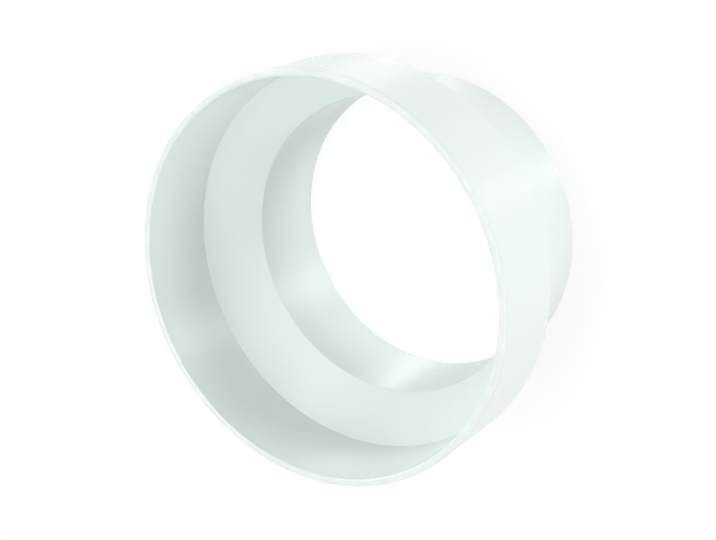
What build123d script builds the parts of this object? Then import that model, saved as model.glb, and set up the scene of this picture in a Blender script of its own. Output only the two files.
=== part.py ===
"""Duct reducer: one moulded plastic piece that joins a wide round duct to a narrower one.

It stands on its narrow end. Z is the axis of both collars, and the narrow end's face lies at Z = 0.
"""
import os
from math import atan2, tan

from build123d import *

# Driving dimensions in millimetres
WIDE_DUCT = 125.0  # inside diameter of the duct that slides over the wide collar
NARROW_DUCT = 100.0  # inside diameter of the duct that slides over the narrow collar
DUCT_CLEARANCE = 0.7  # how much smaller in diameter each collar is than its duct
WALL = 2.3  # thickness of the plastic, the same all the way along
WIDE_LENGTH = 28.0  # outside length of the wide collar
NARROW_LENGTH = 28.0  # outside length of the narrow collar
SHOULDER_LENGTH = 14.8  # axial length of the cone between the collars

# Edges, each a share of the wall so that none can outgrow it
END_BEVEL = 0.2 * WALL  # outside edge of each end, where a duct is led on
END_ROUND = 0.3 * WALL  # inside edge of each end
SHOULDER_ROUND = 0.5 * WALL  # outside edge between the cone and the wide collar
CREST_ROUND = 0.35 * WALL  # inside edge where the cone drops into the narrow collar
CRISP = 0  # corners that the mould leaves sharp

# Sizes that follow from the driving dimensions
WIDE_RADIUS = (WIDE_DUCT - DUCT_CLEARANCE) / 2
NARROW_RADIUS = (NARROW_DUCT - DUCT_CLEARANCE) / 2
SHOULDER_HEIGHT = NARROW_LENGTH + SHOULDER_LENGTH
RIM_HEIGHT = SHOULDER_HEIGHT + WIDE_LENGTH


def wall_outline():
    """Closed outline of the wall, radius across and height up, each corner with the radius of its round.

    The inside runs parallel to the outside, one wall away. Each inside corner of the cone therefore lies
    above its outside corner, by the wall times the tangent of half the cone's angle.
    """
    cone_angle = atan2(WIDE_RADIUS - NARROW_RADIUS, SHOULDER_LENGTH)
    corner_rise = WALL * tan(cone_angle / 2)
    outside = [
        ((NARROW_RADIUS - END_BEVEL, 0), CRISP),
        ((NARROW_RADIUS, END_BEVEL), CRISP),
        ((NARROW_RADIUS, NARROW_LENGTH), CRISP),
        ((WIDE_RADIUS, SHOULDER_HEIGHT), SHOULDER_ROUND),
        ((WIDE_RADIUS, RIM_HEIGHT - END_BEVEL), CRISP),
        ((WIDE_RADIUS - END_BEVEL, RIM_HEIGHT), CRISP),
    ]
    inside = [
        ((WIDE_RADIUS - WALL, RIM_HEIGHT), END_ROUND),
        ((WIDE_RADIUS - WALL, SHOULDER_HEIGHT + corner_rise), CRISP),
        ((NARROW_RADIUS - WALL, NARROW_LENGTH + corner_rise), CREST_ROUND),
        ((NARROW_RADIUS - WALL, 0), END_ROUND),
    ]
    corners, radii = zip(*outside, *inside)
    return FilletPolyline(*corners, radius=radii, close=True)


def duct_reducer():
    """The whole part: the wall's outline stood upright and turned once round the axis."""
    section = Plane.XZ * make_face(wall_outline())
    return revolve(section, axis=Axis.Z)


os.makedirs("parts", exist_ok=True)
export_step(duct_reducer(), "parts/duct_reducer.step")
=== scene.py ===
"""Looks of the duct reducer: one moulded white wall on a pale floor, in metres, around the CAD part."""

from math import atan2, cos, pi, radians, sin, tan

import bpy
import numpy as np
from mathutils import Matrix, Vector


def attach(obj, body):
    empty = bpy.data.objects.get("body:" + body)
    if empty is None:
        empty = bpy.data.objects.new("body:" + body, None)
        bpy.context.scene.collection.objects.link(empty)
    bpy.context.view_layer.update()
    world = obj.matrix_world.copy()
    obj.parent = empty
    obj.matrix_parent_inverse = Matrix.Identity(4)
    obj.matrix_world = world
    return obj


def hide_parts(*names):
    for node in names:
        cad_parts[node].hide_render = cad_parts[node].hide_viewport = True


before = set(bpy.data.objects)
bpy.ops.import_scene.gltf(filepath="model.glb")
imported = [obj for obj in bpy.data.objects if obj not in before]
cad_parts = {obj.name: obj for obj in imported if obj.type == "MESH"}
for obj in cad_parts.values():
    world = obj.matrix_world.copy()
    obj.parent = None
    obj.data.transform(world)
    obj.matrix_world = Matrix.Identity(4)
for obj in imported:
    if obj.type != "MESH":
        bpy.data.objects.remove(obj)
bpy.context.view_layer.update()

MM = 0.001  # metres in a millimetre

# The wall's section, in millimetres, as the CAD part has it
WIDE_RADIUS = 62.15  # outside radius of the wide collar
NARROW_RADIUS = 49.65  # outside radius of the narrow collar
WALL = 2.3  # thickness of the plastic, the same all the way along
NARROW_LENGTH = 28.0  # outside length of the narrow collar
SHOULDER_HEIGHT = 42.8  # height at which the cone's outside meets the wide collar
RIM_HEIGHT = 70.8  # height of the wide end's face
END_BEVEL = 0.46  # outside edge of each end, where a duct is led on

# Rounds of its edges, in millimetres; the mould leaves none of them quite sharp
BEVEL_ROUND = 0.5  # the two edges of each end bevel
END_ROUND = 0.69  # inside edge of each end
SHOULDER_ROUND = 1.15  # outside edge between the cone and the wide collar
ROOT_ROUND = 0.4  # outside hollow between the narrow collar and the cone
CORNER_ROUND = 0.3  # inside hollow between the wide collar and the cone
CREST_ROUND = 0.8  # inside edge where the cone drops into the narrow collar

# Fineness of the wall's mesh
STEPS_ROUND = 320  # faces around the axis
ARC_POINTS = 8  # points on each rounded edge
RUN_POINTS = 12  # points along each straight run of the section


def linear(hex_colour):
    """An sRGB hex colour as linear red, green, blue and full alpha, by the sRGB standard's own curve."""
    srgb = np.array([int(hex_colour[i:i + 2], 16) for i in (1, 3, 5)]) / 255
    low = srgb / 12.92
    high = ((srgb + 0.055) / 1.055) ** 2.4
    return (*np.where(srgb <= 0.04045, low, high).tolist(), 1.0)


def wall_section():
    """Corners of the wall's section, each (radius, height) with the radius of its round, in millimetres.

    They run anticlockwise: up the outside, over the rim and down the inside. The inside is parallel to the
    outside, so each of its cone corners lies above the outside one by the wall times the tangent of half
    the cone's angle.
    """
    cone_angle = atan2(WIDE_RADIUS - NARROW_RADIUS, SHOULDER_HEIGHT - NARROW_LENGTH)
    rise = WALL * tan(cone_angle / 2)
    rows = [
        (NARROW_RADIUS - END_BEVEL, 0, BEVEL_ROUND),
        (NARROW_RADIUS, END_BEVEL, BEVEL_ROUND),
        (NARROW_RADIUS, NARROW_LENGTH, ROOT_ROUND),
        (WIDE_RADIUS, SHOULDER_HEIGHT, SHOULDER_ROUND),
        (WIDE_RADIUS, RIM_HEIGHT - END_BEVEL, BEVEL_ROUND),
        (WIDE_RADIUS - END_BEVEL, RIM_HEIGHT, BEVEL_ROUND),
        (WIDE_RADIUS - WALL, RIM_HEIGHT, END_ROUND),
        (WIDE_RADIUS - WALL, SHOULDER_HEIGHT + rise, CORNER_ROUND),
        (NARROW_RADIUS - WALL, NARROW_LENGTH + rise, CREST_ROUND),
        (NARROW_RADIUS - WALL, 0, END_ROUND),
    ]
    table = np.array(rows, float)
    return table[:, :2], table[:, 2]


def rounded_outline(corners, rounds):
    """Points and outward normals of a closed anticlockwise outline whose corners are tangent arcs.

    A corner that turns by an angle has its arc start one round times the tangent of half that angle before
    it. The normal turns evenly along the arc, and the arc's points lie one round from its centre along that
    normal, to the outside of the centre at a projecting corner and to the inside at a hollow one. Evenly
    spaced points fill the straight run to the next arc.
    """
    into = corners - np.roll(corners, 1, axis=0)
    into /= np.linalg.norm(into, axis=1, keepdims=True)
    out = np.roll(into, -1, axis=0)
    cross = into[:, 0] * out[:, 1] - into[:, 1] * out[:, 0]
    turn = np.arctan2(cross, (into * out).sum(axis=1))
    reach = rounds * np.tan(np.abs(turn) / 2)
    start = corners - into * reach[:, None]
    facing = np.stack([into[:, 1], -into[:, 0]], axis=1)
    bulge = (np.sign(turn) * rounds)[:, None]
    centre = start - facing * bulge
    angle = turn[:, None] * np.linspace(0, 1, ARC_POINTS)
    arc_normals = np.stack([
        facing[:, :1] * np.cos(angle) - facing[:, 1:] * np.sin(angle),
        facing[:, :1] * np.sin(angle) + facing[:, 1:] * np.cos(angle),
    ], axis=2)
    arcs = centre[:, None] + arc_normals * bulge[:, None]
    share = np.linspace(0, 1, RUN_POINTS + 2)[1:-1, None]
    run_from = arcs[:, -1][:, None]
    run_to = np.roll(start, -1, axis=0)[:, None]
    runs = run_from * (1 - share) + run_to * share
    run_normals = np.repeat(arc_normals[:, -1][:, None], RUN_POINTS, axis=1)
    points = np.concatenate([arcs, runs], axis=1).reshape(-1, 2)
    normals = np.concatenate([arc_normals, run_normals], axis=1).reshape(-1, 2)
    return points, normals


def carry_round(outline, turns):
    """An outline of (across, up) pairs carried round the Z axis: x and y are across times cosine and sine."""
    across = outline[None, :, 0]
    up = np.broadcast_to(outline[None, :, 1], (len(turns), len(outline)))
    grid = np.stack([across * np.cos(turns)[:, None], across * np.sin(turns)[:, None], up], axis=2)
    return grid.reshape(-1, 3)


def grid_faces(rows, columns, closed):
    """Four-sided faces between neighbouring rows and columns of a grid, joined end to end if it is closed."""
    row = np.arange(rows if closed else rows - 1)[:, None]
    column = np.arange(columns if closed else columns - 1)[None, :]
    next_row = (row + 1) % rows
    next_column = (column + 1) % columns
    around = [row * columns + column, next_row * columns + column,
              next_row * columns + next_column, row * columns + next_column]
    return np.stack(around, axis=2).reshape(-1, 4)


def new_piece(name, points, faces, material, normals=None):
    """A smooth mesh object at the origin, from whole arrays of points and faces, in metres."""
    mesh = bpy.data.meshes.new(name)
    mesh.from_pydata(points.tolist(), [], faces.tolist())
    mesh.polygons.foreach_set("use_smooth", np.ones(len(faces), bool))
    mesh.update()
    if normals is not None:
        mesh.normals_split_custom_set_from_vertices(normals.tolist())
    mesh.materials.append(material)
    piece = bpy.data.objects.new(name, mesh)
    bpy.context.scene.collection.objects.link(piece)
    return piece


def add_node(tree, kind, sockets=None, **properties):
    """Adds a node with its properties; each named socket gets a value or a link from another node."""
    node = tree.nodes.new(kind)
    for name, value in properties.items():
        setattr(node, name, value)
    for name, value in (sockets or {}).items():
        if isinstance(value, bpy.types.NodeSocket):
            tree.links.new(value, node.inputs[name])
        else:
            node.inputs[name].default_value = value
    return node


def empty_material(name):
    """A material with a bare node tree, and that tree."""
    material = bpy.data.materials.new(name)
    material.use_nodes = True
    material.node_tree.nodes.clear()
    return material, material.node_tree


def per_mm(size):
    """Texture scale at which one feature of a pattern is this many millimetres wide."""
    return 1 / (size * MM)


# White ABS, injection moulded in a polished tool: a hard, dense, faintly cool white with a soft gloss.
ABS_WHITE = "#ECF3F1"  # the plastic where the pigment is even
ABS_SHADE = "#E6EFEC"  # the plastic where the melt flowed last
ABS_SCUFFED = "#DBE3E0"  # the end edges, dulled by ducts pushed over them
ABS_IOR = 1.53
BRIGHT_POLISH = 0.20  # roughness of the glossiest patches
DULL_POLISH = 0.30  # roughness of the dullest patches

# Its patterns: sizes in millimetres, and the number of ever finer layers that each is made of
CLOUD_SIZE = 38.0  # width of the pigment's clouds
CLOUD_LAYERS = 4.0
CLOUD_FADE = 0.55  # strength of each finer layer beside the one before it
GRAIN_SIZE = 1.0  # width of the patches of duller gloss; the real ones are finer, too fine to show
GRAIN_LAYERS = 2.0
PEEL_SIZE = 3.2  # width of the orange peel that polishing leaves
PEEL_LAYERS = 1.0
PEEL_DEPTH = 0.02  # height of the orange peel
PEEL_STRENGTH = 0.25  # share of that height that the light shows
SCUFF_SIZE = 6.0  # width of the scuffed patches along the end edges
SCUFF_LAYERS = 3.0
SCUFF_REACH = 1.6  # how far from each end the scuffs reach
SCUFF_START = 0.3  # value of their pattern at which scuffs begin to deepen
SCUFF_FULL = 0.7  # value of their pattern from which they are deepest
SCUFF_LEAST = 0.4  # the lightest scuff, as a share of the deepest
SCUFF_DULLING = 0.15  # roughness that the deepest scuff adds


def moulded_white_abs():
    """Gloss white moulded plastic: clouds in the pigment, orange peel, uneven gloss and scuffed end edges."""
    material, tree = empty_material("moulded_white_abs")
    place = add_node(tree, "ShaderNodeTexCoord").outputs["Object"]
    clouds = add_node(tree, "ShaderNodeTexNoise", {
        "Vector": place, "Scale": per_mm(CLOUD_SIZE), "Detail": CLOUD_LAYERS, "Roughness": CLOUD_FADE})
    grain = add_node(tree, "ShaderNodeTexNoise", {
        "Vector": place, "Scale": per_mm(GRAIN_SIZE), "Detail": GRAIN_LAYERS})
    peel = add_node(tree, "ShaderNodeTexNoise", {
        "Vector": place, "Scale": per_mm(PEEL_SIZE), "Detail": PEEL_LAYERS})
    patches = add_node(tree, "ShaderNodeTexNoise", {
        "Vector": place, "Scale": per_mm(SCUFF_SIZE), "Detail": SCUFF_LAYERS})
    middle = RIM_HEIGHT / 2
    height = add_node(tree, "ShaderNodeSeparateXYZ", {"Vector": place}).outputs["Z"]
    above_middle = add_node(tree, "ShaderNodeMath", {0: height, 1: middle * MM}, operation="SUBTRACT")
    from_middle = add_node(tree, "ShaderNodeMath", {0: above_middle.outputs[0]}, operation="ABSOLUTE")
    near_end = add_node(tree, "ShaderNodeMapRange", {
        "Value": from_middle.outputs[0], "From Min": (middle - SCUFF_REACH) * MM,
        "From Max": middle * MM}, interpolation_type="SMOOTHSTEP")
    patchy = add_node(tree, "ShaderNodeMapRange", {
        "Value": patches.outputs[0], "From Min": SCUFF_START, "From Max": SCUFF_FULL, "To Min": SCUFF_LEAST})
    scuffs = add_node(tree, "ShaderNodeMath", {
        0: near_end.outputs[0], 1: patchy.outputs[0]}, operation="MULTIPLY")
    clean = add_node(tree, "ShaderNodeMix", {
        0: clouds.outputs[0], 6: linear(ABS_SHADE), 7: linear(ABS_WHITE)}, data_type="RGBA")
    colour = add_node(tree, "ShaderNodeMix", {
        0: scuffs.outputs[0], 6: clean.outputs[2], 7: linear(ABS_SCUFFED)}, data_type="RGBA")
    polish = add_node(tree, "ShaderNodeMapRange", {
        "Value": grain.outputs[0], "To Min": BRIGHT_POLISH, "To Max": DULL_POLISH})
    gloss = add_node(tree, "ShaderNodeMath", {
        0: scuffs.outputs[0], 1: SCUFF_DULLING, 2: polish.outputs[0]}, operation="MULTIPLY_ADD")
    peeled = add_node(tree, "ShaderNodeBump", {
        "Height": peel.outputs[0], "Strength": PEEL_STRENGTH, "Distance": PEEL_DEPTH * MM})
    plastic = add_node(tree, "ShaderNodeBsdfPrincipled", {
        "Base Color": colour.outputs[2], "Roughness": gloss.outputs[0], "IOR": ABS_IOR,
        "Normal": peeled.outputs[0]})
    add_node(tree, "ShaderNodeOutputMaterial", {"Surface": plastic.outputs[0]})
    return material


# Matt white card under the part: seen as white, with the part's soft shadow kept
CARD_WHITE = "#B4B4B4"  # what it throws back on to the part
CARD_SEEN = "#7A7A7A"  # what the light on it adds to its glow where it is seen or mirrored
CARD_GLOW = 0.82  # how white it is seen where no light falls on it
PURE_WHITE = "#FFFFFF"


def seen_ray(tree):
    """One for rays from the camera and mirrored and refracted ones, nought for those that spread light."""
    path = add_node(tree, "ShaderNodeLightPath")
    mirrored = add_node(tree, "ShaderNodeMath", {
        0: path.outputs["Is Glossy Ray"], 1: path.outputs["Is Transmission Ray"]}, operation="MAXIMUM")
    seen = add_node(tree, "ShaderNodeMath", {
        0: path.outputs["Is Camera Ray"], 1: mirrored.outputs[0]}, operation="MAXIMUM")
    return seen.outputs[0]


def white_card():
    """Matt white card that reads as a white ground where it is lit, and greys a little in shadow."""
    material, tree = empty_material("matt_white_card")
    matt = add_node(tree, "ShaderNodeBsdfDiffuse", {"Color": linear(CARD_WHITE)})
    shadowed = add_node(tree, "ShaderNodeBsdfDiffuse", {"Color": linear(CARD_SEEN)})
    glow = add_node(tree, "ShaderNodeEmission", {"Color": linear(PURE_WHITE), "Strength": CARD_GLOW})
    ground = add_node(tree, "ShaderNodeAddShader", {0: glow.outputs[0], 1: shadowed.outputs[0]})
    card = add_node(tree, "ShaderNodeMixShader", {
        0: seen_ray(tree), 1: matt.outputs[0], 2: ground.outputs[0]})
    add_node(tree, "ShaderNodeOutputMaterial", {"Surface": card.outputs[0]})
    return material


def studio_world(strength):
    """Even white surroundings: they light the part at this strength and are seen as plain white."""
    world = bpy.data.worlds.new("white_studio")
    world.use_nodes = True
    tree = world.node_tree
    tree.nodes.clear()
    fill = add_node(tree, "ShaderNodeBackground", {"Color": linear(PURE_WHITE), "Strength": strength})
    white = add_node(tree, "ShaderNodeBackground", {"Color": linear(PURE_WHITE), "Strength": 1.0})
    mixed = add_node(tree, "ShaderNodeMixShader", {
        0: seen_ray(tree), 1: fill.outputs[0], 2: white.outputs[0]})
    add_node(tree, "ShaderNodeOutputWorld", {"Surface": mixed.outputs[0]})
    bpy.context.scene.world = world


FILL_STRENGTH = 0.20  # light from the surroundings, beside the lamps
LAMP_DISTANCE = 1.1  # of most lamps from the part, in metres
LAMP_AIM = 0.035  # height that the lamps are aimed at, in metres


def softbox(name, azimuth, elevation, width, height, level, distance=LAMP_DISTANCE, mirrored=True):
    """A rectangular soft lamp that faces the part from an azimuth and elevation in degrees.

    Azimuth 0 is the camera's side and 90 is towards +X. Width, height and distance are in metres. Level is
    the brightness that the lamp gives a white surface facing it: its power is that times pi squared times
    its distance squared. A lamp that isn't mirrored brightens the plastic but leaves no image in its gloss.
    """
    turn = radians(azimuth)
    climb = radians(elevation)
    aim = Vector((0.0, 0.0, LAMP_AIM))
    away = Vector((cos(climb) * sin(turn), -cos(climb) * cos(turn), sin(climb)))
    data = bpy.data.lights.new(name, "AREA")
    data.shape = "RECTANGLE"
    data.size = width
    data.size_y = height
    data.energy = level * (pi * distance) ** 2
    # Rays end on the floor before they can meet a lamp below it, so such a lamp is only sampled directly
    data.cycles.use_multiple_importance_sampling = elevation > 0
    lamp = bpy.data.objects.new(name, data)
    lamp.location = aim + away * distance
    lamp.rotation_euler = (-away).to_track_quat("-Z", "Y").to_euler()
    lamp.visible_glossy = mirrored
    bpy.context.scene.collection.objects.link(lamp)


# The wall takes the CAD node's place
corners, rounds = wall_section()
outline, outline_normals = rounded_outline(corners, rounds)
turns = np.linspace(0, 2 * pi, STEPS_ROUND, endpoint=False)
wall = new_piece(
    "reducer_wall",
    carry_round(outline * MM, turns),
    grid_faces(STEPS_ROUND, len(outline), closed=True),
    moulded_white_abs(),
    normals=carry_round(outline_normals, turns),
)
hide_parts("duct_reducer")
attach(wall, "root")

# Floor, facing up; it throws no shadow, so that light from the lamps below it reaches the part
FLOOR_HALF = 4.0  # half its width, in metres
edge = np.array([-FLOOR_HALF, FLOOR_HALF])
across, along = np.meshgrid(edge, edge)
floor_points = np.stack([across, along, np.zeros_like(across)], axis=2).reshape(-1, 3)
floor = new_piece("floor", floor_points, grid_faces(2, 2, closed=False)[:, ::-1], white_card())
floor.visible_shadow = False

# Light around the part
studio_world(FILL_STRENGTH)
softbox("overhead_softbox", 0, 90, 0.60, 0.60, 0.60)
softbox("low_front_softbox", 0, 7, 0.60, 0.16, 0.13)
softbox("right_front_softbox", 65, 42, 0.60, 0.60, 0.19)
softbox("right_back_softbox", 120, 16, 0.60, 0.30, 0.39)
softbox("left_back_softbox", 240, 28, 0.60, 0.60, 0.12)
softbox("left_front_softbox", 285, 20, 0.60, 0.25, 0.16, mirrored=False)
softbox("low_left_softbox", 300, 10, 0.60, 0.20, 0.15)

# Light from below the floor: two broad lamps for the near side, then those whose images are the streaks on
# the outside, in the narrow collar and in the wide one
softbox("under_front_softbox", 0, -18, 0.60, 0.36, 0.35, mirrored=False)
softbox("under_right_softbox", 30, -5, 0.60, 0.10, 0.06, mirrored=False)
softbox("under_front_strip", -1, -57, 0.16, 0.20, 0.0075)
softbox("under_right_strip", 101, -57, 0.32, 0.20, 0.011)
softbox("under_bore_front", -4, -74.6, 0.028, 0.028, 0.029, distance=0.123)
softbox("under_bore_back", 138.4, -62.8, 0.028, 0.028, 0.024, distance=0.142)
softbox("under_bore_left", 255, -76.2, 0.070, 0.070, 0.033, distance=0.163)
softbox("under_mouth_front", -4.2, -58.7, 0.028, 0.026, 0.036, distance=0.139)
softbox("under_mouth_back", 134.2, -52.4, 0.028, 0.028, 0.030, distance=0.159)

# Camera: above the near side, looking down into the wide end, and rolled so that the axis runs as pictured
FRAME_WIDTH = 716  # pixels across the photograph
FOCAL_PIXELS = 1469.6  # focal length in those pixels
SENSOR_WIDTH = 36.0  # in millimetres
NEAREST_SEEN = 0.01  # in metres
CAMERA_PLACE = Vector((-2.39, -261.95, 400.14)) * MM
CAMERA_TILT = radians(36.605)  # up from straight down
CAMERA_ROLL = radians(-116.68)
camera_data = bpy.data.cameras.new("camera")
camera_data.sensor_width = SENSOR_WIDTH
camera_data.lens = SENSOR_WIDTH * FOCAL_PIXELS / FRAME_WIDTH
camera_data.clip_start = NEAREST_SEEN
camera = bpy.data.objects.new("camera", camera_data)
tilted = Matrix.Translation(CAMERA_PLACE) @ Matrix.Rotation(CAMERA_TILT, 4, "X")
camera.matrix_world = tilted @ Matrix.Rotation(CAMERA_ROLL, 4, "Z")
bpy.context.scene.collection.objects.link(camera)
bpy.context.scene.camera = camera
bpy.context.scene.view_settings.view_transform = "Standard"
